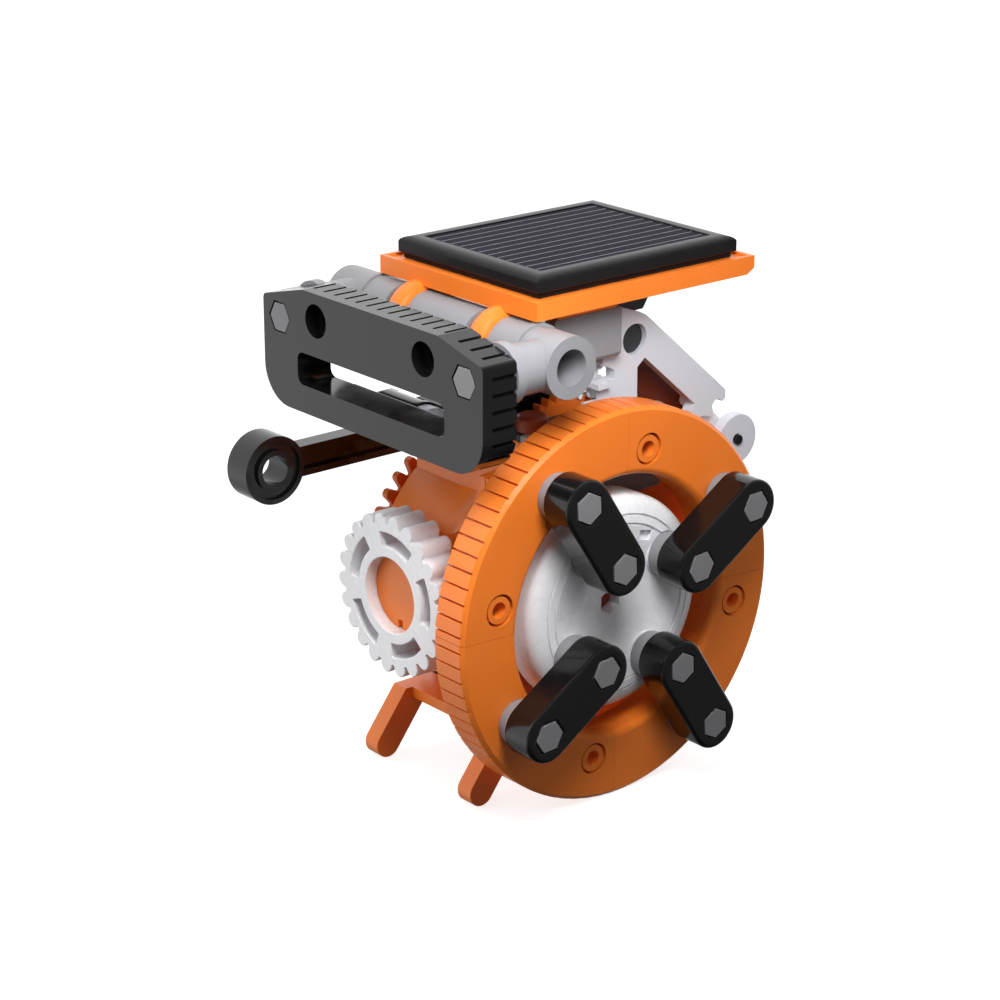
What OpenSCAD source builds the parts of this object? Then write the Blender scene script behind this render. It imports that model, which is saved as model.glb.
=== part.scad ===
// Solar robot kit: a gearbox body on legs with one large link wheel and a tilting solar head.
// Frame: origin on the ground under the middle of the overall box, +X towards the large wheel,
// -Y is the front, +Z up. Inside the modules x is taken from the body's mid plane and y from the axle.

/* [Wheel] */
// outside radius of the large wheel
wheel_r = 45; // [40:0.5:50]
// radius of the opening inside the ring of segments
ring_in_r = 29.7; // [26:0.1:33]
// thickness of a ring segment along the axle
ring_t = 9; // [6:0.5:12]
// plane of the wheel's outer face
wheel_face_x = 33.3; // [30:0.1:36]
// angle of the first seam between two segments
seam_deg = -2.2; // [-10:0.1:10]
// tread slots in one segment
slots_per_quarter = 20; // [8:1:24]
// radius at which the inner pegs sit
peg_in_r = 16.28; // [14:0.01:18]
// radius at which the outer pegs sit
peg_out_r = 35.52; // [33:0.01:38]
// direction of the first link from the axle
link_deg = 32.8; // [20:0.1:45]
// radius of a link's round ends
link_r = 6.1; // [5:0.1:7]
// thickness of a link
link_t = 8; // [5:0.5:10]
// height of the collar under a link
collar_h = 3; // [2:0.1:5]
// across flats of a hexagonal peg
peg_af = 6.3; // [5:0.1:7]
// radius of the dished hub
hub_r = 24.7; // [22:0.1:27]

/* [Body] */
// radius of the drum
drum_r = 29.3; // [26:0.1:31]
// wall of the moulded shells
wall = 2; // [1.5:0.1:3]
// left end of the drum
drum_x0 = -16.2; // [-20:0.1:-12]
// plane where the flare of the drum starts
flare_x = 3.3; // [0:0.1:6]
// radius of the flare
flare_r = 12; // [8:0.5:14]
// distance of the body's flat front from the axle
body_y = 25.5; // [22:0.1:27]
// rear plane of the flare behind the axle
rear_y = 37; // [30:0.5:39]
// height of the flat cut at the top of the flare, above the axle
body_top = 31; // [26:0.5:34]
// half width of the gearbox box
box_y = 18; // [15:0.5:20]
// top of the gearbox box above the axle
box_top = 39.7; // [36:0.1:42]
// lower edge of the gearbox box above the axle
box_bot = 19; // [18:0.5:22]

/* [Head] */
// height of the cross tube above the axle
tube_z = 59.2; // [56:0.1:62]
// distance of the cross tube in front of the axle
tube_y = -19.5; // [-22:0.1:-16]
// outside radius of the cross tube
tube_r = 6.75; // [6:0.05:8]
// half length of the cross tube
tube_half = 38.3; // [34:0.1:42]
// radius of the open bore at each tube end
tube_bore_r = 4; // [3:0.1:5]
// depth of the bore at each tube end
tube_bore_l = 11.5; // [8:0.5:16]
// radius of the grooves that take the tray hooks
groove_r = 5; // [4.6:0.1:6]
// width of the solar tray
tray_w = 53.7; // [48:0.1:58]
// depth of the solar tray
tray_d = 63.6; // [58:0.1:68]
// thickness of the solar tray
tray_t = 4.1; // [3:0.1:6]
// top of the tray above the axle
tray_top = 70.9; // [68:0.1:74]

/* [Bumper] */
// half width of the bumper
bumper_x = 38.3; // [34:0.1:42]
// front plane of the bumper
bumper_y = -43.3; // [-46:0.1:-40]
// thickness of the bumper
bumper_t = 9; // [6:0.5:11]
// top and bottom of the bumper above the axle
bumper_top = 67.3; // [64:0.1:70]
// lower edge of the bumper above the axle
bumper_bot = 39.2; // [36:0.1:42]

/* [Front gear, arm and tail] */
// tip radius of the front gear
nose_r = 18.7; // [16:0.1:20]
// teeth of the front gear
nose_teeth = 22; // [16:1:28]
// height of the front gear's centre above the axle
nose_z = 1.6; // [0:0.1:4]
// sideways place of the front gear
nose_x = -0.7; // [-3:0.1:3]
// height of the swing arm above the axle
arm_z = 25.9; // [22:0.1:30]
// position of the arm's open eye
arm_eye_y = -48.7; // [-54:0.1:-44]
// position of the arm's pivot
arm_pivot_y = 22; // [20:0.5:26]
// radius of the arm's open eye
arm_eye_r = 3.4; // [2.5:0.1:4]
// position of the tail disc behind the axle
tail_y = 50.2; // [46:0.1:52]
// height of the tail disc above the axle
tail_z = 23.9; // [20:0.1:28]

/* [Gear train] */
// module of the gears
gear_m = 0.8; // [0.6:0.05:1]
// teeth of the output gear
out_n = 58; // [48:1:64]
// teeth of the small gears
pin_n = 12; // [12:1:16]
// teeth of the large idler gear
idl_n = 38; // [30:1:44]

/* [Hidden] */
$fn = 64;
axle_z = wheel_r;
gap = 0.05;
ring_back_x = wheel_face_x - ring_t;
ring_mid_x = wheel_face_x - ring_t / 2;
link_x0 = wheel_face_x + collar_h;
link_x1 = link_x0 + link_t;
hex_k = 1 / cos(30) / 2;
tongue_deg = 16;
tongue_r = 42.5;
stud_deg = 10;
stud_r = 35.4;
stud_or = 3.1;
stud_hole_r = 3.65;
stud_bore_r = 1.8;
hub_pad_x = 32.4;
shaft_r = 3;
shaft_af = 5.2;
shaft_end_x = 26.5;
cover_x0 = 17.4;
cover_x1 = 19.4;
box_x0 = drum_x0;
box_x1 = 22;
plate_x0 = 20;
box_w = 1.6;
idler_slot = 12.6;
flare_top_r = drum_r + flare_r;
floor_z = -drum_r;
plate_t = 2.6;
leg_w = 6.6;
leg_t = 4.5;
leg_x = 16.95;
leg_lean = 27.7;
tube_groove_x = [-13.8, 14.2];
groove_half = 3.95;
hook_w = 6;
hook_off = 0.9;
tee_x = 32.2;
bump_back = bumper_y + bumper_t;
barrel_y = -24.8;
barrel_z = 36.2;
mot_y = 6;
mot_z = 47;
mot_r = 7.2;
mot_x0 = -13;
mot_x1 = 8.5;
gear_x0 = 4.5;
gear_x1 = 9;
big_x0 = 11;
big_x1 = 13.4;
d_oa = gear_m * (out_n + pin_n) / 2;
d_am = gear_m * (idl_n + pin_n) / 2;
d_om = sqrt(mot_y * mot_y + mot_z * mot_z);
a_om = atan2(mot_z, mot_y);
a_oa = a_om + acos((d_oa * d_oa + d_om * d_om - d_am * d_am) / (2 * d_oa * d_om));
idl_y = d_oa * cos(a_oa);
idl_z = d_oa * sin(a_oa);
a_am = atan2(mot_z - idl_z, mot_y - idl_y);
ph_small = a_oa + 180 + 180 / pin_n + a_oa * out_n / pin_n;
ph_rotor = a_am + 180 + 180 / pin_n + a_am * idl_n / pin_n;
nose_y0 = -38;
nose_y1 = -30;
spr_x0 = -21;
spr_x1 = -19.1;
spr_r = 29.7;
spr_n = 40;
arm_x1 = -27.7;
arm_t = 7.3;
arm_or = 7.9;
beam_t = 4.6;
frame_x1 = 17.3;
frame_x0 = 14.3;
tail_r = 6.1;
hip_y = 17.5;
hip_z = 54;
hip_bore_r = 3.55;
rear_y0 = 18.1;
rear_y1 = 27.5;
tray_x0 = -26;
tray_y0 = -20;
tray_bot = tray_top - tray_t;
lip_w = 1.1;
lip_h = 0.6;
bez_z0 = tray_top + 0.8;
bez_h = 3.6;
bez_x0 = tray_x0 + 2.7;
bez_x1 = tray_x0 + tray_w - 2.9;
bez_y0 = tray_y0 + 2.9;
bez_y1 = tray_y0 + tray_d - 2.7;
rim_w = 4.3;
cell_z = bez_z0 + bez_h - 1.3;
off_x = -(link_x1 - tube_half) / 2;
off_y = -(tail_y + tail_r + arm_eye_y - arm_or) / 2;

// ---------- helpers ----------

// children are drawn in the side plane (local x -> Y, local y -> Z, local z -> X), about the axle
module side(x = 0) {
    translate([x + off_x, off_y, axle_z])
        rotate([90, 0, 90])
            children();
}

// children are drawn in the front plane (local x -> X, local y -> Z, local z -> -Y), about the axle
module front(y = 0) {
    translate([off_x, y + off_y, axle_z])
        rotate([90, 0, 0])
            children();
}

// cylinder along X at (y, z above the axle)
module xcyl(r, x0, x1, y = 0, z = 0) {
    side(x0)
        translate([y, z, 0])
            cylinder(r = r, h = x1 - x0);
}

// cylinder along Y at (x, z above the axle), from y0 to y1
module ycyl(r, y0, y1, x = 0, z = 0) {
    front(y1)
        translate([x, z, 0])
            cylinder(r = r, h = y1 - y0);
}

// box given by two corners, heights above the axle
module block(a, b) {
    translate([a[0] + off_x, a[1] + off_y, axle_z + a[2]])
        cube([b[0] - a[0], b[1] - a[1], b[2] - a[2]]);
}

module hex(af, h) {
    cylinder(r = af * hex_k, h = h, $fn = 6);
}

// flat bar with round ends between two points of the side plane
module bar(p, q, r, h) {
    d = q - p;
    translate([p[0], p[1], 0])
        cylinder(r = r, h = h);
    translate([q[0], q[1], 0])
        cylinder(r = r, h = h);
    translate([p[0], p[1], 0])
        rotate([0, 0, atan2(d[1], d[0])])
            translate([0, -r, 0])
                cube([norm(d), 2 * r, h]);
}

// bar along local x whose upper edge is rounded by e
module round_bar(x0, x1, r, h, e) {
    half = concat([[r, 0]], [for (i = [0:5]) let (t = 18 * i) [r - e + e * cos(t), h - e + e * sin(t)]]);
    n = len(half) - 1;
    for (x = [x0, x1])
        translate([x, 0, 0])
            rotate_extrude()
                polygon(concat([[0, 0]], half, [[0, h]]));
    translate([x0, 0, 0])
        rotate([90, 0, 90])
            linear_extrude(x1 - x0)
                polygon(concat(half, [for (i = [0:n]) [-half[n - i][0], half[n - i][1]]]));
}

function involute(a) = tan(a) * 180 / PI - a;
// half angle of a tooth at radius r
function flank(n, m, r, play) = (90 / n) - play * 90 / (PI * m * n / 2)
    + involute(20) - involute(acos(min(1, m * n / 2 * cos(20) / r)));

// spur gear outline; add = tip height in modules, play = thinning of the tooth
module gear2d(n, m, add, play = 0.26, phase = 0) {
    rp = m * n / 2;
    rt = rp + add * m;
    rf = rp - 1.1 * m;
    rb = max(rp * cos(20), rf);
    rm = (rb + rt) / 2;
    hb = flank(n, m, rb, play);
    hm = flank(n, m, rm, play);
    ht = flank(n, m, rt, play);
    hf = hb - (rb > rf + 0.01 ? 2.5 : 0);
    shape = [[rf, -hf], [rb, -hb], [rm, -hm], [rt, -ht], [rt, ht], [rm, hm], [rb, hb], [rf, hf]];
    low = rb > rf + 0.01 ? shape : [for (i = [1:6]) shape[i]];
    polygon([for (k = [0:n - 1]) for (s = low)
        let (a = phase + k * 360 / n + s[1]) [s[0] * cos(a), s[0] * sin(a)]]);
}

// ---------- wheel ----------

module ring_profile() {
    lip = 1.6;
    edge = 0.9;
    difference() {
        translate([ring_in_r, 0])
            square([wheel_r - ring_in_r, ring_t]);
        translate([ring_in_r - 1, ring_t - lip])
            square([1 + lip, lip + 1]);
        translate([wheel_r, ring_t - edge])
            rotate([0, 0, 45])
                square([3, 3]);
    }
    translate([ring_in_r + lip, ring_t - lip])
        circle(r = lip, $fn = 40);
}

module sector(a0, a1) {
    am = (a0 + a1) / 2;
    polygon([[0, 0], [80 * cos(a0), 80 * sin(a0)], [120 * cos(am), 120 * sin(am)],
        [80 * cos(a1), 80 * sin(a1)]]);
}

module quarter(k) {
    a0 = seam_deg + 90 * k;
    half = ring_t / 2;
    pitch = 90 / slots_per_quarter;
    eps = 0.06;
    side(ring_back_x)
        rotate([0, 0, a0])
            difference() {
                intersection() {
                    rotate_extrude($fn = 180)
                        ring_profile();
                    union() {
                        translate([0, 0, half])
                            linear_extrude(half + 1)
                                sector(eps, 90 - eps);
                        translate([0, 0, -1])
                            linear_extrude(half + 1 + gap)
                                union() {
                                    sector(eps, 90 - tongue_deg - eps);
                                    difference() {
                                        sector(eps, 90 - eps);
                                        circle(r = tongue_r + gap, $fn = 180);
                                    }
                                }
                        translate([0, 0, -1])
                            linear_extrude(half + 1 - gap)
                                intersection() {
                                    sector(-tongue_deg + eps, 3);
                                    circle(r = tongue_r - gap, $fn = 180);
                                }
                    }
                }
                for (i = [0:slots_per_quarter - 1])
                    rotate([0, 0, (i + 0.5) * pitch])
                        translate([wheel_r - 1.2, -0.23, -1])
                            cube([3, 0.46, ring_t + 0.25]);
                rotate([0, 0, link_deg - seam_deg])
                    translate([peg_out_r, 0, 1.5])
                        rotate([0, 0, 30])
                            hex(peg_af + 2 * gap, ring_t);
                rotate([0, 0, 90 - stud_deg])
                    translate([stud_r, 0, half - 1])
                        cylinder(r = stud_hole_r, h = ring_t);
                rotate([0, 0, -stud_deg])
                    translate([stud_r, 0, -1])
                        cylinder(r = stud_bore_r, h = ring_t + 2);
                intersection() {
                    translate([0, 0, -1])
                        rotate_extrude()
                            translate([ring_in_r + 2.2, 0])
                                square([wheel_r - ring_in_r - 5, 4]);
                    translate([0, 0, -2])
                        linear_extrude(8)
                            for (s = [[4, 25], [45, 70]])
                                sector(s[0], s[1]);
                }
            }
    side(ring_back_x)
        rotate([0, 0, a0 - stud_deg])
            translate([stud_r, 0, half - 1])
                difference() {
                    cylinder(r = stud_or, h = half + 0.7);
                    translate([0, 0, -1])
                        cylinder(r = stud_bore_r, h = half + 3);
                }
}

module quarter_1() {
    color([0.94, 0.45, 0.13])
        quarter(0);
}

module quarter_2() {
    color([0.94, 0.45, 0.13])
        quarter(1);
}

module quarter_3() {
    color([0.94, 0.45, 0.13])
        quarter(2);
}

module quarter_4() {
    color([0.94, 0.45, 0.13])
        quarter(3);
}

module link(k) {
    side(link_x0)
        rotate([0, 0, link_deg + 90 * k])
            difference() {
                round_bar(peg_in_r, peg_out_r, link_r, link_t, 0.95);
                for (r = [peg_in_r, peg_out_r])
                    translate([r, 0, -1])
                        rotate([0, 0, 30])
                            hex(peg_af + 0.5, link_t + 2);
            }
}

module link_1() {
    color([0.05, 0.05, 0.05])
        link(0);
}

module link_2() {
    color([0.05, 0.05, 0.05])
        link(1);
}

module link_3() {
    color([0.05, 0.05, 0.05])
        link(2);
}

module link_4() {
    color([0.05, 0.05, 0.05])
        link(3);
}

module link_pegs() {
    out_x0 = ring_back_x + 2;
    in_x0 = hub_pad_x - 3.4;
    color([0.48, 0.48, 0.5])
        for (k = [0:3], s = [[peg_in_r, in_x0], [peg_out_r, out_x0]])
            side(s[1])
                rotate([0, 0, link_deg + 90 * k])
                    translate([s[0], 0, 0])
                        rotate([0, 0, 30])
                            hex(peg_af, link_x1 - s[1]);
}

module link_collars() {
    color([0.62, 0.62, 0.64])
        for (k = [0:3], s = [[peg_in_r, hub_pad_x + gap], [peg_out_r, wheel_face_x + gap]])
            side(s[1])
                rotate([0, 0, link_deg + 90 * k])
                    translate([s[0], 0, 0])
                        difference() {
                            cylinder(r = link_r - 0.9, h = link_x0 - gap - s[1]);
                            translate([0, 0, -1])
                                cylinder(r = peg_af * hex_k + 0.12, h = 9);
                        }
}

module hub() {
    face = [[0, 29.6], [4.2, 29.8], [6, 30.2], [15.5, 32.3], [18.2, 32.6], [18.2, 32], [18.7, 32],
        [18.7, 32.65], [20.3, 32.5], [20.3, 31.9], [20.8, 31.9], [20.8, 32.4], [22.6, 31.9],
        [23.8, 31.2], [24.4, 30.3], [hub_r, 29.2], [hub_r, 23.5], [hub_r - 2, 23.5],
        [hub_r - 2, 28.4], [21, 29.8], [16, 30.2], [6.5, 28], [6.5, 20.2], [0, 20.2]];
    color([0.93, 0.93, 0.95])
        difference() {
            side(0)
                union() {
                    rotate_extrude($fn = 120)
                        polygon(face);
                    for (k = [0:3])
                        rotate([0, 0, link_deg + 90 * k])
                            translate([peg_in_r, 0, 27])
                                cylinder(r = 5, h = hub_pad_x - 27);
                }
            side(19)
                rotate([0, 0, 30])
                    hex(shaft_af + 2 * gap, 12);
            for (k = [0:3])
                side(28)
                    rotate([0, 0, link_deg + 90 * k])
                        translate([peg_in_r, 0, 0])
                            rotate([0, 0, 30])
                                hex(peg_af + 2 * gap, 8);
            for (k = [0:3])
                side(hub_pad_x)
                    rotate([0, 0, link_deg + 90 * k])
                        translate([peg_in_r, 0, 0])
                            cylinder(r = link_r - 0.8, h = 2);
            side(31.2)
                translate([7.55, 14.45, 0])
                    rotate([0, 0, -13])
                        translate([-1.75, -1.15, 0])
                            cube([3.5, 2.3, 3]);
        }
}

module output_shaft() {
    color([0.72, 0.3, 0.08])
        union() {
            xcyl(shaft_r, spr_x1 + 0.1, 20, 0, 0);
            side(19.9)
                rotate([0, 0, 30])
                    hex(shaft_af, shaft_end_x - 19.9);
            side(spr_x0 - 2)
                rotate([0, 0, 30])
                    hex(shaft_af, spr_x1 - spr_x0 + 2.2);
        }
}

module output_gear() {
    color([0.9, 0.9, 0.92])
        side(gear_x0)
            difference() {
                union() {
                    linear_extrude(gear_x1 - gear_x0)
                        gear2d(out_n, gear_m, 0.7);
                    translate([0, 0, -2])
                        cylinder(r = 5.5, h = 2.5);
                }
                translate([0, 0, -3])
                    cylinder(r = shaft_r + 0.02, h = 12);
                for (a = [0:60:300])
                    rotate([0, 0, a])
                        translate([14, 0, -1])
                            cylinder(r = 4.2, h = 9);
            }
}

module sprocket() {
    root = spr_r - 3.5;
    step = 360 / spr_n;
    color([0.85, 0.38, 0.1])
        side(spr_x0)
            difference() {
                linear_extrude(spr_x1 - spr_x0)
                    polygon([for (k = [0:spr_n - 1]) for (s = [[root, -0.44], [root + 1.2, -0.34],
                        [spr_r - 0.7, -0.25], [spr_r - 0.2, -0.17], [spr_r, -0.07], [spr_r, 0.07],
                        [spr_r - 0.2, 0.17], [spr_r - 0.7, 0.25], [root + 1.2, 0.34], [root, 0.44]])
                        [s[0] * cos((k + s[1]) * step), s[0] * sin((k + s[1]) * step)]]);
                for (a = [0:72:288])
                    rotate([0, 0, a])
                        translate([16, 0, -1])
                            cylinder(r = 5.5, h = 8);
                translate([0, 0, -1])
                    rotate([0, 0, 30])
                        hex(shaft_af + 2 * gap, 8);
            }
}

module idler_gear() {
    color([0.85, 0.38, 0.1])
        side(0)
            translate([idl_y, idl_z, 0])
                difference() {
                    union() {
                        translate([0, 0, big_x0])
                            linear_extrude(big_x1 - big_x0)
                                gear2d(idl_n, gear_m, 0.7);
                        translate([0, 0, gear_x0 - 1.5])
                            linear_extrude(big_x0 - gear_x0 + 1.6)
                                gear2d(pin_n, gear_m, 0.8, 0.26, ph_small);
                    }
                    translate([0, 0, -1])
                        cylinder(r = 1.55, h = 30);
                    for (a = [0:72:288])
                        rotate([0, 0, a])
                            translate([9, 0, big_x0 - 1])
                                cylinder(r = 2.6, h = 6);
                }
}

module rotor_pinion() {
    color([0.95, 0.95, 0.93])
        side(big_x0 - 0.8)
            translate([mot_y, mot_z, 0])
                difference() {
                    linear_extrude(3.7)
                        gear2d(pin_n, gear_m, 0.8, 0.26, ph_rotor);
                    translate([0, 0, -1])
                        cylinder(r = 1.02, h = 8);
                }
}

module rotor_shaft() {
    color([0.75, 0.75, 0.77])
        xcyl(1, mot_x0 - 2, frame_x0 - 0.2, mot_y, mot_z);
}

// ---------- body ----------

module drum_profile(off) {
    // outline of the bell in (radius, x), moved inwards by off
    n = 10;
    polygon(concat(
        [[0, drum_x0 + off], [drum_r - off, drum_x0 + off]],
        [for (i = [0:n]) let (t = 90 * i / n)
            [flare_top_r - (flare_r + off) * cos(t), flare_x + (flare_r + off) * sin(t)]],
        [[flare_top_r, flare_x + flare_r + 2 * wall - off], [0, flare_x + flare_r + 2 * wall - off]]));
}

module drum_body(off, y0, y1, z0, z1) {
    intersection() {
        side(0)
            rotate_extrude($fn = 120)
                drum_profile(off);
        block([-30, y0, z0], [40, y1, z1]);
    }
}

// room for the gearbox box and the rear block
module box_notch() {
    block([box_x0 - 0.1, -box_y - 0.1, box_bot - 0.1], [40, box_y + 0.1, 60]);
    block([-16.1, box_y, box_bot + 0.9], [40, rear_y1 + 0.1, 60]);
}

module drum_shell() {
    skin = 1.4;
    color([0.9, 0.42, 0.12])
        difference() {
            drum_body(0, -body_y, rear_y, floor_z, body_top);
            drum_body(wall, skin - body_y, rear_y - skin, floor_z - 1, body_top - skin);
            xcyl(flare_top_r + 1, flare_x + flare_r + wall - 0.1, 40);
            box_notch();
            xcyl(4.05, drum_x0 - 1, drum_x0 + 4);
            ycyl(3.2, -body_y - 1, -body_y + 4, nose_x, nose_z);
        }
}

module drum_cover() {
    color([0.8, 0.36, 0.1])
        difference() {
            intersection() {
                xcyl(flare_top_r - 0.4, cover_x0, cover_x1);
                block([0, -body_y + 0.1, floor_z], [40, rear_y - 0.1, body_top - 0.2]);
            }
            box_notch();
            xcyl(4.05, cover_x0 - 1, cover_x1 + 1);
            for (a = [0:2])
                at_screw(a)
                    cylinder(r = 1.1, h = 10);
        }
    color([0.8, 0.36, 0.1])
        for (a = [0:2])
            at_screw(a)
                difference() {
                    translate([0, 0, -5])
                        cylinder(r = 2.6, h = 5.1);
                    translate([0, 0, -6])
                        cylinder(r = 1.1, h = 10);
                }
}

// three screw places on the cover
module at_screw(k) {
    side(cover_x0)
        rotate([0, 0, -140 + 50 * k])
            translate([26.6, 0, 0])
                children();
}

module cover_screws() {
    color([0.7, 0.7, 0.72])
        for (k = [0:2])
            at_screw(k)
                translate([0, 0, -3.5])
                    union() {
                        cylinder(r = 1.05, h = 6);
                        translate([0, 0, 2 + 3.55])
                            difference() {
                                cylinder(r1 = 2.1, r2 = 1.7, h = 1.2);
                                for (a = [0, 90])
                                    rotate([0, 0, a])
                                        translate([-1.2, -0.25, 0.5])
                                            cube([2.4, 0.5, 1]);
                            }
                    }
}

module shaft_bushes() {
    color([0.93, 0.9, 0.8])
        for (s = [[drum_x0 - 1, drum_x0 + wall + 1, drum_x0 + wall + 0.05],
            [cover_x0 - 2.2, cover_x1 + 0.4, cover_x0 - 2.2]])
            difference() {
                union() {
                    xcyl(4, s[0], s[1]);
                    xcyl(5.4, s[2], s[2] + (s[2] < 0 ? 1 : 2.15));
                }
                xcyl(shaft_r + 0.05, s[0] - 1, s[1] + 1);
            }
}

module leg(dir) {
    // leg bar in the side plane, leaning away from the body
    top = [dir * 19.3, floor_z - 0.9];
    foot = [dir * 28.1, 3.3 - axle_z];
    r = leg_w / 2;
    for (x = [-leg_x, leg_x])
        side(x - leg_t / 2)
            bar(top, foot, r, leg_t);
}

module foot_frame() {
    z1 = floor_z - 0.1;
    color([0.88, 0.4, 0.12])
        difference() {
            union() {
                block([-19.2, -21, z1 - plate_t], [19.2, 21, z1]);
                intersection() {
                    union() {
                        leg(-1);
                        leg(1);
                    }
                    block([-40, -60, -axle_z], [40, 60, z1]);
                }
                block([-19.2, -21, z1 - 5.4], [-17, 21, z1 - 1]);
                block([17, -21, z1 - 5.4], [19.2, 21, z1 - 1]);
            }
            for (x = [-10, 10])
                translate([x + off_x, off_y, axle_z + z1 - 6])
                    cylinder(r = 1.6, h = 12);
            block([-6, -12, z1 - 9], [6, 12, z1 + 1]);
            block([-25, -12, z1 - 3.5], [spr_x1 + 0.1, 12, z1 + 1]);
        }
}

module idler_opening() {
    block([big_x0 - 0.8, idl_y - idler_slot, box_top - box_w - 1], [big_x1 + 0.8, idl_y + idler_slot, 60]);
}

module gearbox_box() {
    z1 = box_top - box_w - gap;
    x1 = plate_x0 - gap;
    color([0.9, 0.42, 0.12])
        difference() {
            union() {
                difference() {
                    block([box_x0, -box_y, box_bot], [x1, box_y, z1]);
                    block([box_x0 + box_w, -box_y + box_w, box_bot - 1], [x1 + 1, box_y - box_w, z1 + 1]);
                }
                xcyl(3.4, box_x0 + box_w - 0.1, 2, idl_y, idl_z);
            }
            idler_opening();
            block([gear_x0 - 1, -box_y - 1, box_bot - 1], [gear_x1 + 1, box_y + 1, box_bot + 0.6]);
            xcyl(1.5, box_x0 - 1, 5, idl_y, idl_z);
        }
}

module side_plate() {
    y1 = 22;
    z0 = box_bot + 1.4;
    color([0.5, 0.51, 0.54])
        difference() {
            side(plate_x0)
                linear_extrude(box_x1 - plate_x0)
                    polygon([[-box_y, z0], [y1 - 1, z0], [y1, z0 + 1], [y1, box_top], [-box_y, box_top]]);
            xcyl(1.5, plate_x0 - 1, box_x1 + 1, idl_y, idl_z);
        }
}

module top_deck() {
    color([0.2, 0.21, 0.22])
        difference() {
            block([box_x0, -box_y, box_top - box_w], [plate_x0 - gap, box_y, box_top]);
            idler_opening();
        }
}

module idler_pin() {
    color([0.75, 0.75, 0.77])
        xcyl(1.49, box_x0 + 0.05, box_x1 + 0.4, idl_y, idl_z);
}

module motor_can() {
    color([0.16, 0.16, 0.17])
        difference() {
            union() {
                xcyl(mot_r, mot_x0, mot_x1, mot_y, mot_z);
                xcyl(2.6, mot_x1 - 0.1, mot_x1 + 1.1, mot_y, mot_z);
                xcyl(2.6, mot_x0 - 1, mot_x0 + 0.1, mot_y, mot_z);
            }
            xcyl(1.05, mot_x0 - 3, mot_x1 + 3, mot_y, mot_z);
        }
}

module motor_strap() {
    ro = mot_r + 1.8;
    z0 = box_top + gap;
    color([0.08, 0.08, 0.08])
        difference() {
            union() {
                side(-6)
                    linear_extrude(10)
                        intersection() {
                            union() {
                                translate([mot_y, mot_z])
                                    circle(r = ro);
                                translate([mot_y - ro, z0])
                                    square([2 * ro, mot_z - z0]);
                            }
                            translate([mot_y - 20, z0])
                                square([40, 30]);
                        }
                block([-9, -16, z0], [8.5, mot_y - ro + 1, z0 + 4.8]);
            }
            xcyl(mot_r + 0.1, -12, 10, mot_y, mot_z);
        }
}

module top_peg() {
    color([0.85, 0.38, 0.1])
        translate([18.8 + off_x, -13.7 + off_y, axle_z + box_top + gap])
            rotate_extrude()
                polygon([[0, 0], [3.6, 0], [3.6, 2.7], [3.3, 3.3], [2.7, 3.6], [0, 3.6]]);
}

module rear_block() {
    // hollow block on the back of the box; carries the arm pin on its left and the strut on its right
    color([0.86, 0.4, 0.12])
        difference() {
            union() {
                block([-16, rear_y0, box_bot + 1], [19, rear_y1, 34]);
                xcyl(3.8, -17.5, -10, arm_pivot_y, arm_z);
            }
            block([-13.5, rear_y0 - 1, box_bot + 3.2], [16.8, rear_y1 - 2, 31.8]);
            xcyl(2.2, -20, -9, arm_pivot_y, arm_z);
        }
}

module arm_pin() {
    color([0.5, 0.5, 0.52])
        union() {
            xcyl(2.18, arm_x1 - arm_t - 0.6, -9.5, arm_pivot_y, arm_z);
            xcyl(3.6, arm_x1 - arm_t - 2, arm_x1 - arm_t - 0.3, arm_pivot_y, arm_z);
        }
}

module swing_arm() {
    side(arm_x1 - arm_t)
        color([0.06, 0.06, 0.06])
            difference() {
                union() {
                    translate([arm_eye_y, arm_z, 0])
                        cylinder(r = arm_or, h = arm_t);
                    translate([arm_pivot_y, arm_z, 0])
                        cylinder(r = 6, h = arm_t);
                    translate([arm_eye_y + 3.6, arm_z - 3.55, (arm_t - beam_t) / 2])
                        cube([arm_pivot_y - arm_eye_y - 6.2, 7.1, beam_t]);
                }
                for (z = [-1, (arm_t + beam_t) / 2 - 1.2])
                    translate([arm_eye_y + arm_or + 0.6, arm_z - 2, z])
                        cube([arm_pivot_y - arm_eye_y - arm_or - 7.4, 4, (arm_t - beam_t) / 2 + 2.2]);
                translate([arm_eye_y, arm_z, -1])
                    cylinder(r = arm_eye_r, h = arm_t + 2);
                for (z = [-1, arm_t - 0.8])
                    translate([arm_eye_y, arm_z, z])
                        difference() {
                            cylinder(r = 6.7, h = 1.8);
                            translate([0, 0, -1])
                                cylinder(r = 4.7, h = 4);
                        }
                translate([arm_pivot_y, arm_z, -1])
                    cylinder(r = 2.24, h = arm_t + 2);
            }
}

module strut_web() {
    // web behind the A-frame, standing on the rear block
    color([0.45, 0.15, 0.06])
        side(7.6)
            linear_extrude(3.2)
                polygon([[19.5, 34.05], [19.5, 50], [22.5, 52], [43, 34.5], [40, 30], [31, 29],
                    [27.6, 30], [27.6, 34.05]]);
}

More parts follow.
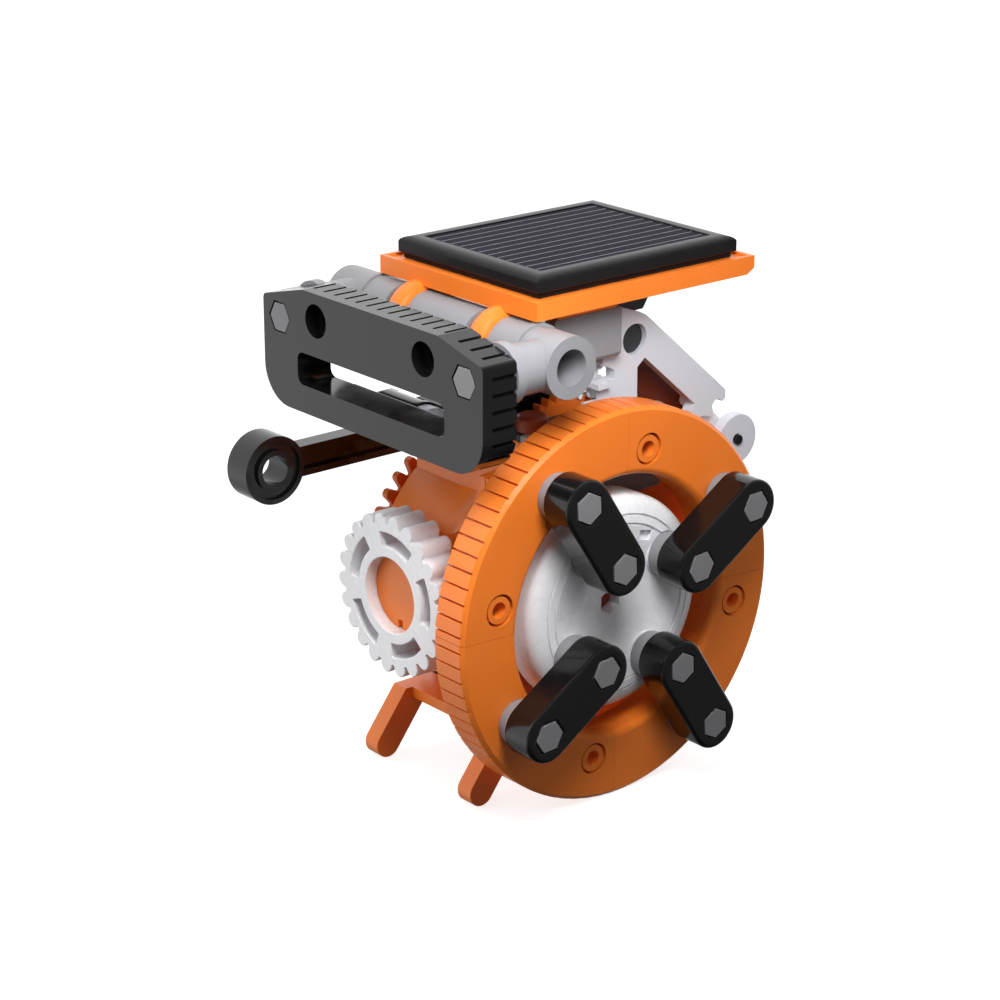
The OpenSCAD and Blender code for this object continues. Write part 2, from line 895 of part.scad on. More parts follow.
module a_frame() {
    t = frame_x1 - frame_x0;
    color([0.82, 0.82, 0.85])
        side(frame_x0)
            difference() {
                union() {
                    prism([[11.6, 48], [11.6, box_top + gap], [18.4, box_top + gap], [18.4, 47.4],
                        [20.6, 49.2], [36.3, 35.3], [35.1, 33.5], [37.4, 31.6], [39.3, 31.9],
                        [41, 31.2], [42.2, 32.3], [41.8, 33.8], [42.7, 34.9], [44, 35], [45, 34.2],
                        [46, 34.8], [46, 36.6], [45.6, 37.2], [21.8, 58.2], [20.8, 59], [19.4, 59.8],
                        [12.6, 62.2], [8, 62.4], [8, 50]], t);
                    translate([4.5, box_top + gap, 0])
                        cube([14, 1.5, t]);
                    translate([5.5, box_top + 5, 0])
                        cube([7, 1.3, t]);
                    translate([5.5, box_top + 5, 0])
                        cube([3.4, 1.3, t + 1.5]);
                    translate([7, box_top + 1, t - 1])
                        cube([5, 4.5, 1]);
                }
                translate([hip_y, hip_z, -1])
                    cylinder(r = hip_bore_r, h = t + 2);
            }
}

module prism(pts, h) {
    linear_extrude(h)
        polygon(pts);
}

module hip_peg() {
    color([0.25, 0.25, 0.27])
        union() {
            xcyl(hip_bore_r - 0.05, frame_x0 - 2, frame_x1 - 1.4, hip_y, hip_z);
            xcyl(hip_bore_r + 1.6, frame_x0 - 3.4, frame_x0 - 0.05, hip_y, hip_z);
        }
}

module hip_block() {
    x0 = frame_x1 + gap;
    x1 = frame_x1 + 3.5;
    color([0.5, 0.5, 0.52])
        front(10.5)
            linear_extrude(19.5)
                polygon([[x0, 52], [x1 - 1.2, 52], [x1, 53.2], [x1, 63.6], [x0, 63.6]]);
}

module panel_rest() {
    // wedge behind the A-frame that the lowered tray lies on
    color([0.24, 0.26, 0.28])
        side(frame_x0 - 3.3)
            prism([[9, 59.4], [22.7, 59.4], [27.2, 66.4], [9, 66.4]], 3.25);
}

module tail_link() {
    color([0.92, 0.92, 0.94])
        side(frame_x0 - 3.4)
            difference() {
                union() {
                    bar([39, 34.6], [tail_y, tail_z], 1.7, 3.3);
                    translate([tail_y, tail_z, 0])
                        cylinder(r = 3.6, h = 3.3);
                }
                translate([tail_y, tail_z, -1])
                    cylinder(r = 1.2, h = 6);
            }
}

module tail_pin() {
    color([0.05, 0.05, 0.05])
        union() {
            xcyl(1.18, frame_x0 - 3.8, frame_x1 + 0.7, tail_y, tail_z);
            xcyl(2, frame_x0 - 5, frame_x0 - 3.5, tail_y, tail_z);
        }
}

module tail_disc() {
    color([0.84, 0.84, 0.87])
        difference() {
            xcyl(tail_r, frame_x0 + 0.3, frame_x1, tail_y, tail_z);
            xcyl(1.25, frame_x0 - 1, frame_x1 + 1, tail_y, tail_z);
        }
}

// ---------- neck, bumper ----------

module neck_tube() {
    color([0.5, 0.51, 0.54])
        difference() {
            union() {
                xcyl(groove_r, -tube_half, tube_half, tube_y, tube_z);
                for (s = [[-tube_half, tube_groove_x[0] - groove_half], [tube_groove_x[0] + groove_half,
                    tube_groove_x[1] - groove_half], [tube_groove_x[1] + groove_half, tube_half]])
                    xcyl(tube_r, s[0], s[1], tube_y, tube_z);
                for (x = [-tee_x, tee_x]) {
                    ycyl(5.6, bump_back + 0.05, tube_y, x, tube_z);
                    ycyl(6.7, bump_back + 0.05, bump_back + 2.4, x, tube_z);
                }
                for (x = [-tee_x + 4.5, tee_x - 5.9])
                    xcyl(tube_r + 0.45, x, x + 1.4, tube_y, tube_z);
            }
            for (x = [-tube_half - 1, tube_half - tube_bore_l])
                xcyl(tube_bore_r, x, x + tube_bore_l + 1, tube_y, tube_z);
            for (x = [-tee_x, tee_x])
                front(bump_back + 9)
                    translate([x, tube_z, 0])
                        hex(peg_af + 2 * gap, 12);
        }
}

module neck_posts() {
    ro = tube_r + 2;
    color([0.42, 0.43, 0.45])
        for (x = [-0.6, 5.6])
            difference() {
                union() {
                    intersection() {
                        xcyl(ro, x, x + 5, tube_y, tube_z);
                        block([x, tube_y - 20, tube_z - 20], [x + 5, tube_y + 20, tube_z]);
                    }
                    block([x, -21, box_top + gap], [x + 5, -16.05, tube_z - 3]);
                }
                xcyl(tube_r + gap, x - 1, x + 6, tube_y, tube_z);
            }
}

module bumper_outline(s = 0) {
    cr = 8.9;
    flat = 24;
    x = bumper_x - s;
    hull() {
        for (i = [-1, 1]) {
            translate([i * (bumper_x - cr), bumper_bot + cr])
                circle(r = cr - s, $fn = 48);
            translate([i * (x - 1.2), bumper_top - 4.7 - s])
                circle(r = 1.2, $fn = 16);
            translate([i * (flat - 0.5), bumper_top - 1.2 - s])
                circle(r = 1.2, $fn = 16);
        }
    }
}

module bumper_window() {
    wr = 2;
    hull()
        for (x = [-25.8 + wr, 25.8 - wr], z = [45.6 + wr, 53 - wr])
            translate([x, z])
                circle(r = wr, $fn = 32);
}

module bumper() {
    cut = bumper_t - 2.6;
    color([0.07, 0.07, 0.075])
        front(bump_back)
            difference() {
                linear_extrude(bumper_t)
                    bumper_outline();
                translate([0, 0, -1])
                    linear_extrude(bumper_t + 2)
                        bumper_window();
                for (x = [-18.75, 18.75])
                    translate([x, 61.15, 0]) {
                        translate([0, 0, -1])
                            cylinder(r = 1.6, h = bumper_t + 2);
                        translate([0, 0, bumper_t - 3])
                            cylinder(r = 3.8, h = 4);
                    }
                for (x = [-tee_x, tee_x])
                    translate([x, tube_z + 0.1, -1])
                        hex(peg_af + 0.6, bumper_t + 2);
                for (i = [-6:6])
                    translate([i * 3.8, bumper_top - 1, -1])
                        rib(cut);
                for (s = [-1, 1], i = [0:2])
                    translate([s * (27.4 + i * 3.8), bumper_top - 2.1 - i * 0.93, -1])
                        rib(cut);
                for (s = [-1, 1], i = [0:3])
                    translate([s * (bumper_x - 1) - (s < 0 ? 1 : 0), 60.2 - i * 3.6, -1])
                        cube([2, 0.95, cut + 1]);
                for (s = [-1, 1], a = [12:23:81])
                    translate([s * (bumper_x - 8.9), bumper_bot + 8.9, -1])
                        rotate([0, 0, s > 0 ? -a : 180 + a])
                            translate([7.9, -0.47, 0])
                                cube([2, 0.95, cut + 1]);
                for (i = [-7:7])
                    translate([i * 3.8 - 0.47, bumper_bot - 1, -1])
                        cube([0.95, 2, cut + 1]);
            }
}

module rib(cut) {
    translate([-0.47, 0, 0])
        cube([0.95, 3, cut + 1]);
}

module bumper_pegs() {
    color([0.48, 0.48, 0.5])
        for (x = [-tee_x, tee_x])
            front(bump_back + 8)
                translate([x, tube_z, 0])
                    hex(peg_af, bumper_t + 7.95);
}

module cross_bar() {
    y0 = -33.6;
    y1 = -31.2;
    zt = 44.2;
    zb = 36;
    r = (zt - zb) / 2;
    color([0.05, 0.05, 0.055])
        difference() {
            union() {
                front(y1)
                    linear_extrude(y1 - y0) {
                        translate([-24.7 + r, zb + r])
                            circle(r = r);
                        translate([-24.7 + r, zb])
                            square([35.7 - r, 2 * r]);
                    }
                block([-21.1, y1 - 0.2, 34], [-18.8, -21, zt - 3]);
                for (x = [-1.3, 5])
                    block([x, y1 - 0.2, 34], [x + 2.3, -box_y - gap, box_top]);
            }
            xcyl(1.25, -25, 3, barrel_y, barrel_z);
        }
}

module cross_barrel() {
    color([0.07, 0.07, 0.075])
        difference() {
            union() {
                xcyl(6, -18.6, -5.4, barrel_y, barrel_z);
                xcyl(6.25, -6.6, -5.2, barrel_y, barrel_z);
            }
            xcyl(1.25, -20, -4, barrel_y, barrel_z);
        }
}

module barrel_cap() {
    color([0.84, 0.84, 0.87])
        union() {
            xcyl(5.7, -5.1, -1.6, barrel_y, barrel_z);
            xcyl(1.2, -21.6, 1.2, barrel_y, barrel_z);
        }
}

// ---------- front gear ----------

module nose_boss() {
    color([0.88, 0.4, 0.13])
        difference() {
            union() {
                ycyl(7.9, nose_y1 + 0.4, -body_y - 0.05, nose_x, nose_z);
                ycyl(nose_hole_r() - 0.06, -35, nose_y1 + 0.5, nose_x, nose_z);
                ycyl(3.15, -30, -body_y + 3, nose_x, nose_z);
                ycyl(11.2, nose_y1 + 0.6, nose_y1 + 1.8, nose_x, nose_z);
            }
            block([nose_x - 0.8, -36, nose_z - 8.7], [nose_x + 0.8, -34, nose_z - 6.6]);
        }
}

function nose_hole_r() = 8.7;

module nose_gear() {
    rr = nose_r - 2.3;
    color([0.94, 0.94, 0.96])
        front(nose_y1)
            translate([nose_x, nose_z, 0])
                difference() {
                    union() {
                        cylinder(r = rr, h = nose_y1 - nose_y0, $fn = 120);
                        linear_extrude(nose_y1 - nose_y0)
                            for (k = [0:nose_teeth - 1])
                                rotate([0, 0, k * 360 / nose_teeth + 3])
                                    nose_tooth(rr);
                    }
                    translate([0, 0, -1])
                        cylinder(r = nose_hole_r(), h = 12);
                    translate([0, 0, -1])
                        linear_extrude(12)
                            for (k = [0:4])
                                intersection() {
                                    difference() {
                                        circle(r = 14.4);
                                        circle(r = 11.2);
                                    }
                                    rotate([0, 0, 8 + 72 * k])
                                        polygon([[0, 0], [30, -13.2], [30, 13.2]]);
                                }
                }
}

module nose_tooth(rr) {
    polygon([[rr - 0.5, -1.95], [rr + 0.6, -1.9], [rr + 1.3, -1.65], [rr + 1.85, -1.2],
        [rr + 2.2, -0.6], [rr + 2.3, 0], [rr + 2.2, 0.6], [rr + 1.85, 1.2], [rr + 1.3, 1.65],
        [rr + 0.6, 1.9], [rr - 0.5, 1.95]]);
}

// ---------- solar head ----------

module tray() {
    hook_x = [for (x = tube_groove_x) x + hook_off];
    color([0.95, 0.5, 0.15])
        difference() {
            union() {
                difference() {
                    block([tray_x0, tray_y0, tray_bot], [tray_x0 + tray_w, tray_y0 + tray_d, tray_top]);
                    block([tray_x0 + 5, tray_y0 + 6.5, tray_bot + 1.5],
                        [tray_x0 + tray_w - 5, tray_y0 + tray_d - 4.5, tray_top + 1]);
                    block([tray_x0 + lip_w, tray_y0 + lip_w, tray_top - lip_h],
                        [tray_x0 + tray_w - lip_w, tray_y0 + tray_d - lip_w, tray_top + 1]);
                    side(tray_x0 - 1)
                        translate([tray_y0 + tray_d, tray_bot, 0])
                            prism([[-2.3, -0.1], [1, -0.1], [1, 1.9], [0, 1.3]], tray_w + 2);
                }
                for (x = hook_x) {
                    side(x)
                        translate([tube_y, tube_z, 0])
                            rotate_extrude()
                                translate([5.7, 0])
                                    circle(r = hook_w / 2, $fn = 32);
                    block([x - hook_w / 2, tube_y, tube_z], [x + hook_w / 2, tube_y + 8, tray_bot + 0.5]);
                }
                block([frame_x1 + 0.2, -8, 63.65], [frame_x1 + 3.4, 9, tray_bot + 0.1]);
                block([-20, -8, 64.6], [-16.8, 36, tray_bot + 0.1]);
            }
            for (x = hook_x) {
                xcyl(groove_r + 0.06, x - 5, x + 5, tube_y, tube_z);
                side(x - 4)
                    translate([tube_y, tube_z, 0])
                        linear_extrude(8)
                            polygon([[0, 0], [-20, -11], [-20, -30], [20, -30], [20, -4], [3, -3]]);
            }
        }
}

module bezel_profile(w) {
    rx = 2.8;
    rz = 1.3;
    n = 8;
    half = concat([[w / 2, 0]], [for (i = [0:n]) let (t = 90 * i / n)
        [w / 2 - rx + rx * cos(t), bez_h - rz + rz * sin(t)]]);
    polygon(concat(half, [for (i = [n + 1:-1:0]) [-half[i][0], half[i][1]]]));
}

module bezel() {
    color([0.05, 0.05, 0.055])
        difference() {
            union() {
                intersection() {
                    front(bez_y1)
                        translate([(bez_x0 + bez_x1) / 2, bez_z0, 0])
                            linear_extrude(bez_y1 - bez_y0)
                                bezel_profile(bez_x1 - bez_x0);
                    side(bez_x0)
                        translate([(bez_y0 + bez_y1) / 2, bez_z0, 0])
                            linear_extrude(bez_x1 - bez_x0)
                                bezel_profile(bez_y1 - bez_y0);
                }
                block([bez_x0 + 0.9, bez_y0 + 0.9, tray_top - lip_h + gap],
                    [bez_x1 - 0.9, bez_y1 - 0.9, bez_z0 + 0.1]);
            }
            block([bez_x0 + rim_w, bez_y0 + rim_w, cell_z], [bez_x1 - rim_w, bez_y1 - rim_w, 90]);
        }
}

module solar_cell() {
    in = rim_w + 0.1;
    color([0.12, 0.11, 0.16])
        block([bez_x0 + in, bez_y0 + in, cell_z + gap], [bez_x1 - in, bez_y1 - in, cell_z + gap + 1]);
}

// ---------- nodes ----------

drum_shell();
drum_cover();
shaft_bushes();
cover_screws();
foot_frame();
gearbox_box();
side_plate();
top_deck();
panel_rest();
motor_can();
motor_strap();
top_peg();
idler_pin();
rear_block();
arm_pin();
strut_web();
a_frame();
hip_peg();
hip_block();
tail_link();
tail_pin();
tail_disc();
neck_posts();
neck_tube();
bumper();
bumper_pegs();
cross_bar();
cross_barrel();
barrel_cap();
nose_boss();
nose_gear();
swing_arm();
tray();
bezel();
solar_cell();
output_shaft();
output_gear();
sprocket();
hub();
quarter_1();
quarter_2();
quarter_3();
quarter_4();
link_1();
link_2();
link_3();
link_4();
link_pegs();
link_collars();
idler_gear();
rotor_shaft();
rotor_pinion();
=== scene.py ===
"""Looks of the solar robot kit: materials, softened edges, fine panel lines, light and camera."""

import math

import bmesh
import bpy
from mathutils import Matrix, Vector


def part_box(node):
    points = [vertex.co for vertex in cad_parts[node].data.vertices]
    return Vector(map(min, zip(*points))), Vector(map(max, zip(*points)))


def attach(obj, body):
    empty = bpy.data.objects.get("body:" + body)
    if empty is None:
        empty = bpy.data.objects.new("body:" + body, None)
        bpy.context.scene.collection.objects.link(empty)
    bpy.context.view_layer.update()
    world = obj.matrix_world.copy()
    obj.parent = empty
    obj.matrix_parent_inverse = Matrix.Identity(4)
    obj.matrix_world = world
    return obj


MM = 0.001

# camera of the photograph, in the frame of the part
CAMERA_POS = Vector((447.97, -381.61, 267.95)) * MM
CAMERA_AZ = 50.32
CAMERA_EL = 19.07
CAMERA_LENS = 99.57
CAMERA_SHIFT = (0.0024, -0.0131)
SENSOR_WIDTH = 36

# studio surround: its strength to the left and right of the robot, and the part left below it
WORLD_LEFT = 1.3
WORLD_RIGHT = 0.17
WORLD_BELOW = 0.15

# name: place in m, point it aims at, width and height in m, watts, seen by camera and reflections
MIDDLE = (0, 0, 0.06)
LIGHTS = {
    "key": ((0.112, -0.068, 0.197), (0.02, -0.01, 0.06), (0.07, 0.07), 0.37, False),
    "kick": ((0.13, 0.075, 0.125), (0.02, 0.045, 0.055), (0.05, 0.05), 0.03, False),
    "front": ((-0.25, -0.75, 0.55), MIDDLE, (0.5, 0.4), 0.7, True),
    "top": ((-0.1, 0.1, 0.95), MIDDLE, (0.6, 0.6), 0.6, True),
}

# floor: half its side in m, colour, glow, tint, roughness, its variation, IOR
FLOOR_HALF = 6
FLOOR_COLOUR = (0.5, 0.5, 0.5)
FLOOR_GLOW = 0.78
FLOOR_TINT = 0.005
FLOOR_ROUGH = 0.7
FLOOR_ROUGH_VAR = 0.03
FLOOR_IOR = 1.3

# fine lines on the solar cell: spacing, width, rise above the cell and gap to its ends
LINE_PITCH = 3.2 * MM
LINE_WIDTH = 0.4 * MM
LINE_RISE = 0.02 * MM
LINE_GAP = 0.4 * MM

# procedural texture of the plastics: scales of colour drift, gloss patches and grain
DRIFT_SCALE = 55.0
PATCH_SCALE = 260.0
GRAIN_SCALE = 2600.0
GRAIN_DEPTH = 0.2 * MM
COAT_ROUGHNESS = 0.06

# rounding of the CAD edges: vertices closer than WELD join, edges sharper than SHARP are rounded
WELD = 0.002 * MM
FLAT_DEGREES = 0.5
SHARP_DEGREES = 30
BEVEL_STEPS = 3

# colours are linear RGB
ORANGE = (0.86, 0.2, 0.022)
ORANGE_DEEP = (0.7, 0.14, 0.016)
# painted shade: orange darkened to stand for orange parts that sit in shadow
ORANGE_PAINTED_SHADE = (0.34, 0.05, 0.012)
# painted shade: brown that stands for orange in deep shadow
BROWN_PAINTED_SHADE = (0.11, 0.018, 0.006)
BLACK = (0.006, 0.006, 0.0064)
BLACK_SATIN = (0.011, 0.011, 0.012)
# dark grey of the top deck, also used as painted shade for grey parts in shadow: the panel rest
# under the tray and the hip peg inside its bore
CHARCOAL_AND_PAINTED_SHADE = (0.035, 0.037, 0.04)
GREY = (0.25, 0.25, 0.267)
GREY_DARK = (0.1, 0.1, 0.107)
PEG = (0.19, 0.19, 0.2)
PALE = (0.63, 0.65, 0.71)
WHITE = (0.84, 0.84, 0.87)
STEEL = (0.55, 0.55, 0.56)
CELL = (0.0085, 0.0075, 0.014)
CELL_LINE = (0.075, 0.072, 0.1)

# name: colour, its variation, roughness, its variation, bump, coat, metallic, IOR
LOOKS = {
    "orange": (ORANGE, 0.03, 0.34, 0.05, 0.02, 0.0, 0.0, 1.45),
    "orange_deep": (ORANGE_DEEP, 0.04, 0.38, 0.06, 0.03, 0.0, 0.0, 1.45),
    "orange_dark": (ORANGE_PAINTED_SHADE, 0.05, 0.4, 0.07, 0.03, 0.0, 0.0, 1.45),
    "brown_painted_shade": (BROWN_PAINTED_SHADE, 0.08, 0.42, 0.08, 0.03, 0.0, 0.0, 1.4),
    "black": (BLACK, 0.12, 0.14, 0.03, 0.008, 0.0, 0.0, 1.46),
    "black_satin": (BLACK_SATIN, 0.12, 0.22, 0.03, 0.008, 0.0, 0.0, 1.2),
    "charcoal": (CHARCOAL_AND_PAINTED_SHADE, 0.08, 0.4, 0.08, 0.03, 0.0, 0.0, 1.45),
    "grey": (GREY, 0.03, 0.34, 0.05, 0.02, 0.0, 0.0, 1.45),
    "grey_dark": (GREY_DARK, 0.05, 0.38, 0.06, 0.03, 0.0, 0.0, 1.45),
    "peg": (PEG, 0.04, 0.42, 0.07, 0.04, 0.0, 0.0, 1.45),
    "pale": (PALE, 0.012, 0.32, 0.05, 0.015, 0.0, 0.0, 1.45),
    "white": (WHITE, 0.01, 0.28, 0.04, 0.01, 0.15, 0.0, 1.45),
    "steel": (STEEL, 0.04, 0.32, 0.1, 0.02, 0.0, 1.0, 1.5),
    "motor": (GREY_DARK, 0.06, 0.35, 0.1, 0.02, 0.0, 0.7, 1.5),
    "cell": (CELL, 0.1, 0.2, 0.04, 0.005, 0.0, 0.0, 1.035),
    "cell_line": (CELL_LINE, 0.05, 0.3, 0.05, 0.01, 0.0, 0.0, 1.22),
}

# node: look, width of its softened edges in mm
NODES = {
    "drum_shell": ("orange", 0.5),
    "drum_cover": ("orange", 0.3),
    "shaft_bushes": ("white", 0.15),
    "cover_screws": ("steel", 0.08),
    "foot_frame": ("orange", 0.6),
    "gearbox_box": ("orange", 0.4),
    "side_plate": ("grey", 0.3),
    # the top deck is dark grey; the panel rest below is grey plastic coloured charcoal as painted
    # shade under the tray
    "top_deck": ("charcoal", 0.3),
    "panel_rest": ("charcoal", 0.3),
    "motor_can": ("motor", 0.3),
    "motor_strap": ("black", 0.4),
    # painted shade: the orange top peg behind the tube end is coloured dark orange for its shadow
    "top_peg": ("orange_dark", 0.35),
    "idler_pin": ("steel", 0.2),
    "rear_block": ("orange", 0.4),
    "arm_pin": ("peg", 0.3),
    # painted shade: the strut web is an orange part coloured brown for the shadow it sits in near
    # the hip
    "strut_web": ("brown_painted_shade", 0.25),
    "a_frame": ("pale", 0.3),
    # painted shade: the grey hip peg is coloured charcoal for the shade inside the hip bore
    "hip_peg": ("charcoal", 0.25),
    "hip_block": ("grey", 0.35),
    "tail_link": ("white", 0.3),
    "tail_pin": ("black", 0.15),
    "tail_disc": ("pale", 0.25),
    "neck_posts": ("grey_dark", 0.3),
    "neck_tube": ("grey", 0.3),
    "bumper": ("black", 0.4),
    "bumper_pegs": ("peg", 0.15),
    "cross_bar": ("black", 0.4),
    "cross_barrel": ("black", 0.4),
    "barrel_cap": ("pale", 0.3),
    "nose_boss": ("orange", 0.25),
    "nose_gear": ("white", 0.25),
    "swing_arm": ("black", 0.3),
    "tray": ("orange", 0.35),
    "bezel": ("black_satin", 0.25),
    "solar_cell": ("cell", 0.1),
    # painted shade: the output shaft takes the same darkened orange that stands for shadow
    "output_shaft": ("orange_dark", 0.15),
    "output_gear": ("white", 0.12),
    "sprocket": ("orange_deep", 0.2),
    "hub": ("white", 0.2),
    **{f"quarter_{i}": ("orange", 0.15) for i in range(1, 5)},
    **{f"link_{i}": ("black", 0.45) for i in range(1, 5)},
    "link_pegs": ("peg", 0.15),
    "link_collars": ("grey", 0.15),
    "idler_gear": ("orange_deep", 0.1),
    "rotor_shaft": ("steel", 0.1),
    "rotor_pinion": ("white", 0.08),
}


def shader_node(tree, kind, place=(0, 0), **sockets):
    """A node of the given kind with constant values on the named sockets."""
    node = tree.nodes.new(kind)
    node.location = place
    for name, value in sockets.items():
        node.inputs[name.replace("_", " ")].default_value = value
    return node


def plastic(name, colour, tint, rough, rough_var, bump, coat, metallic, ior):
    """Moulded plastic or metal: slow colour drift, patchy gloss and a fine moulded grain."""
    mat = bpy.data.materials.new(name)
    mat.use_nodes = True
    tree = mat.node_tree
    tree.nodes.clear()
    out = tree.nodes.new("ShaderNodeOutputMaterial")
    bsdf = shader_node(tree, "ShaderNodeBsdfPrincipled", (-300, 0), Metallic=metallic,
                       Coat_Weight=coat, Coat_Roughness=COAT_ROUGHNESS, IOR=ior)
    coords = tree.nodes.new("ShaderNodeTexCoord")
    drift = shader_node(tree, "ShaderNodeTexNoise", (-900, 300), Scale=DRIFT_SCALE, Detail=3.0)
    ramp = tree.nodes.new("ShaderNodeValToRGB")
    dark = [c * (1 - tint) for c in colour]
    light = [min(1.0, c * (1 + tint)) for c in colour]
    ramp.color_ramp.elements[0].color = (*dark, 1)
    ramp.color_ramp.elements[0].position = 0.35
    ramp.color_ramp.elements[1].color = (*light, 1)
    ramp.color_ramp.elements[1].position = 0.65
    patches = shader_node(tree, "ShaderNodeTexNoise", (-900, 0), Scale=PATCH_SCALE, Detail=4.0)
    spread = shader_node(tree, "ShaderNodeMapRange", (-600, 0), From_Min=0.3, From_Max=0.7,
                         To_Min=max(0.02, rough - rough_var), To_Max=rough + rough_var)
    grain = shader_node(tree, "ShaderNodeTexNoise", (-900, -300), Scale=GRAIN_SCALE, Detail=2.0)
    bumps = shader_node(tree, "ShaderNodeBump", (-600, -300), Strength=bump,
                        Distance=GRAIN_DEPTH)
    link = tree.links.new
    for texture in (drift, patches, grain):
        link(coords.outputs["Object"], texture.inputs["Vector"])
    link(drift.outputs["Fac"], ramp.inputs["Fac"])
    link(ramp.outputs["Color"], bsdf.inputs["Base Color"])
    link(patches.outputs["Fac"], spread.inputs["Value"])
    link(spread.outputs["Result"], bsdf.inputs["Roughness"])
    link(grain.outputs["Fac"], bumps.inputs["Height"])
    link(bumps.outputs["Normal"], bsdf.inputs["Normal"])
    link(bsdf.outputs["BSDF"], out.inputs["Surface"])
    return mat


def soften(obj, width, merge=True):
    """Rounds the edges of a CAD node; merge first joins the triangles of each flat face."""
    weld = obj.modifiers.new("weld", "WELD")
    weld.merge_threshold = WELD
    if merge:
        flat = obj.modifiers.new("flat", "DECIMATE")
        flat.decimate_type = "DISSOLVE"
        flat.angle_limit = math.radians(FLAT_DEGREES)
    bevel = obj.modifiers.new("bevel", "BEVEL")
    bevel.width = width * MM
    bevel.segments = BEVEL_STEPS
    bevel.limit_method = "ANGLE"
    bevel.angle_limit = math.radians(SHARP_DEGREES)
    bevel.use_clamp_overlap = True
    bevel.miter_outer = "MITER_ARC"
    normals = obj.modifiers.new("normals", "WEIGHTED_NORMAL")
    normals.keep_sharp = True


def look_at(obj, target):
    """Turns a light so that it points at target."""
    obj.rotation_euler = (Vector(target) - obj.location).to_track_quat("-Z", "Y").to_euler()


def softbox(name, place, target, size, watts, seen):
    """Rectangular studio light that points at target; seen is whether it shows in reflections."""
    data = bpy.data.lights.new(name, "AREA")
    data.shape = "RECTANGLE"
    data.size, data.size_y = size
    data.energy = watts
    obj = bpy.data.objects.new(name, data)
    bpy.context.collection.objects.link(obj)
    obj.location = place
    look_at(obj, target)
    if not seen:
        obj.visible_camera = obj.visible_glossy = False


def add_camera():
    """Camera at the angle of the photograph."""
    az, el = math.radians(CAMERA_AZ), math.radians(CAMERA_EL)
    back = Vector((math.sin(az) * math.cos(el), -math.cos(az) * math.cos(el), math.sin(el)))
    right = Vector((math.cos(az), math.sin(az), 0))
    up = back.cross(right)
    data = bpy.data.cameras.new("camera")
    data.lens = CAMERA_LENS
    data.sensor_width = SENSOR_WIDTH
    data.shift_x, data.shift_y = CAMERA_SHIFT
    data.clip_start = 0.01
    cam = bpy.data.objects.new("camera", data)
    bpy.context.collection.objects.link(cam)
    turn = Matrix((right, up, back)).transposed().to_4x4()
    cam.matrix_world = Matrix.Translation(CAMERA_POS) @ turn
    bpy.context.scene.camera = cam


def add_floor():
    """Plain pale floor that doesn't show in the reflections of the robot."""
    mesh = bpy.data.meshes.new("floor")
    bm = bmesh.new()
    bmesh.ops.create_grid(bm, x_segments=8, y_segments=8, size=FLOOR_HALF)
    bm.to_mesh(mesh)
    bm.free()
    floor = bpy.data.objects.new("floor", mesh)
    bpy.context.collection.objects.link(floor)
    floor.visible_glossy = False
    floor.visible_diffuse = False
    mat = plastic("floor_white", FLOOR_COLOUR, FLOOR_TINT, FLOOR_ROUGH, FLOOR_ROUGH_VAR,
                  0.0, 0.0, 0.0, FLOOR_IOR)
    bsdf = next(n for n in mat.node_tree.nodes if n.type == "BSDF_PRINCIPLED")
    bsdf.inputs["Emission Color"].default_value = (1, 1, 1, 1)
    bsdf.inputs["Emission Strength"].default_value = FLOOR_GLOW
    mesh.materials.append(mat)


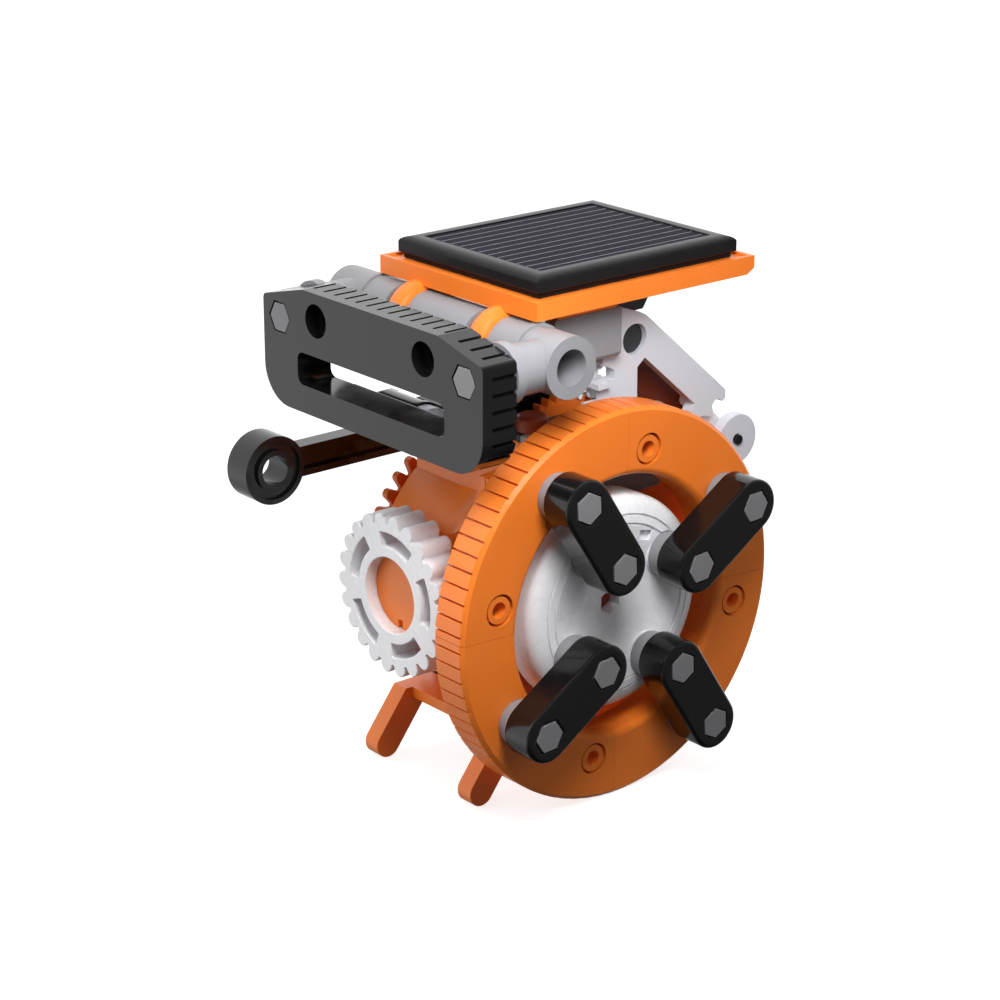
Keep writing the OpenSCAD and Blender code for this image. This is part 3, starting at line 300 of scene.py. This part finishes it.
def add_world():
    """Studio surround: bright to the left of the robot, dark to its right and below it."""
    world = bpy.data.worlds.new("studio")
    world.use_nodes = True
    bpy.context.scene.world = world
    tree = world.node_tree
    background = tree.nodes["Background"]
    background.inputs["Color"].default_value = (1, 1, 1, 1)
    coords = tree.nodes.new("ShaderNodeTexCoord")
    split = tree.nodes.new("ShaderNodeSeparateXYZ")
    across = shader_node(tree, "ShaderNodeMapRange", From_Min=-0.55, From_Max=0.5,
                         To_Min=WORLD_LEFT, To_Max=WORLD_RIGHT)
    down = shader_node(tree, "ShaderNodeMapRange", From_Min=-0.8, From_Max=-0.3,
                       To_Min=WORLD_BELOW, To_Max=1.0)
    both = tree.nodes.new("ShaderNodeMath")
    both.operation = "MULTIPLY"
    across.interpolation_type = down.interpolation_type = "SMOOTHSTEP"
    link = tree.links.new
    link(coords.outputs["Generated"], split.inputs["Vector"])
    link(split.outputs["X"], across.inputs["Value"])
    link(split.outputs["Z"], down.inputs["Value"])
    link(across.outputs["Result"], both.inputs[0])
    link(down.outputs["Result"], both.inputs[1])
    link(both.outputs["Value"], background.inputs["Strength"])


def add_lights():
    for name, (place, target, size, watts, seen) in LIGHTS.items():
        softbox(name, place, target, size, watts, seen)


def panel_lines(mat):
    """Fine pale fingers across the solar cell, printed a hair above its face."""
    low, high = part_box("solar_cell")
    count = int((high.x - low.x) / LINE_PITCH)
    first = (low.x + high.x - (count - 1) * LINE_PITCH) / 2
    length = high.y - low.y - 2 * LINE_GAP
    middle = (low.y + high.y) / 2
    bm = bmesh.new()
    for i in range(count):
        strip = bmesh.ops.create_cube(bm, size=1)["verts"]
        bmesh.ops.scale(bm, verts=strip, vec=(LINE_WIDTH, length, 2 * LINE_RISE))
        bmesh.ops.translate(bm, verts=strip, vec=(first + i * LINE_PITCH, middle, high.z))
    bmesh.ops.bevel(bm, geom=bm.edges[:], offset=0.3 * LINE_RISE, segments=1, affect="EDGES")
    mesh = bpy.data.meshes.new("panel_lines")
    bm.to_mesh(mesh)
    bm.free()
    obj = bpy.data.objects.new("panel_lines", mesh)
    bpy.context.collection.objects.link(obj)
    mesh.materials.append(mat)
    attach(obj, "head")


def dress_nodes(materials):
    """Material and softened edges of every CAD node; the bezel keeps its triangles, as it has a
    hole through its face that joining them would cover."""
    for node, (look, width) in NODES.items():
        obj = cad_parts[node]
        obj.data.materials.clear()
        obj.data.materials.append(materials[look])
        soften(obj, width, merge=node != "bezel")


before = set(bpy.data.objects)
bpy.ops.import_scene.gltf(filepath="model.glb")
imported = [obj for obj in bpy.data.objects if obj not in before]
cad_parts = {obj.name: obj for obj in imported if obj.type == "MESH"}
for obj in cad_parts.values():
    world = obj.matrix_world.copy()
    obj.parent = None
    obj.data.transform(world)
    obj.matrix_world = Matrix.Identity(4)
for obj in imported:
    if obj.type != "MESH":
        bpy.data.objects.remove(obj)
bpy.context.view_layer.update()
bpy.context.scene.view_settings.view_transform = "Standard"
materials = {name: plastic(name, *values) for name, values in LOOKS.items()}
dress_nodes(materials)
panel_lines(materials["cell_line"])
add_floor()
add_world()
add_lights()
add_camera()
